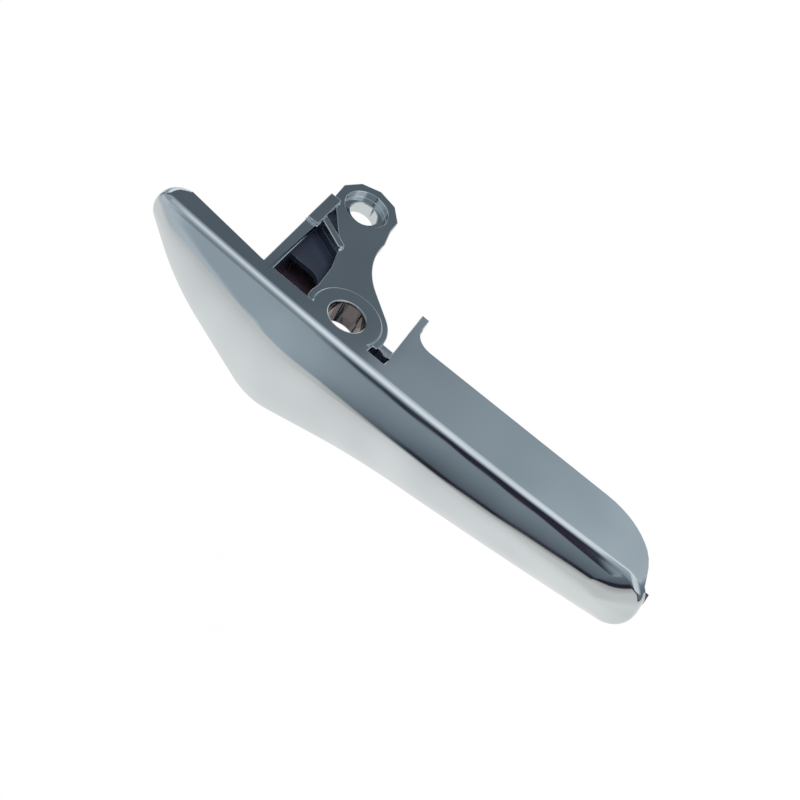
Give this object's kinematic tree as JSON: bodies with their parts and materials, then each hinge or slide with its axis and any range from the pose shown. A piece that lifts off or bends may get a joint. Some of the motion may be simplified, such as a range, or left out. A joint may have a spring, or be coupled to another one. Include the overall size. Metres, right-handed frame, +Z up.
{
  "type": "car interior door handle",
  "caption": "Chrome-plated pull lever for a car door's inner side: leaf-shaped paddle with a deep grip, stop fin and an arm with pivot bore and rod eye.",
  "frame": {"origin": "on the pivot bore's axis, halfway along the bore", "axes": "+X along the lever to the grip tip, -Y towards the user, +Z up along the pivot axis"},
  "size_m": [0.1433, 0.054, 0.0307],
  "materials": {
    "chrome_plating": "bright chrome plating on a moulded plastic lever",
    "dark_plastic": "fine-grained dark moulding"
  },
  "bodies": {
    "root": {"lever": "chrome_plating", "grip_backing": "dark_plastic"}
  },
  "joints": []
}
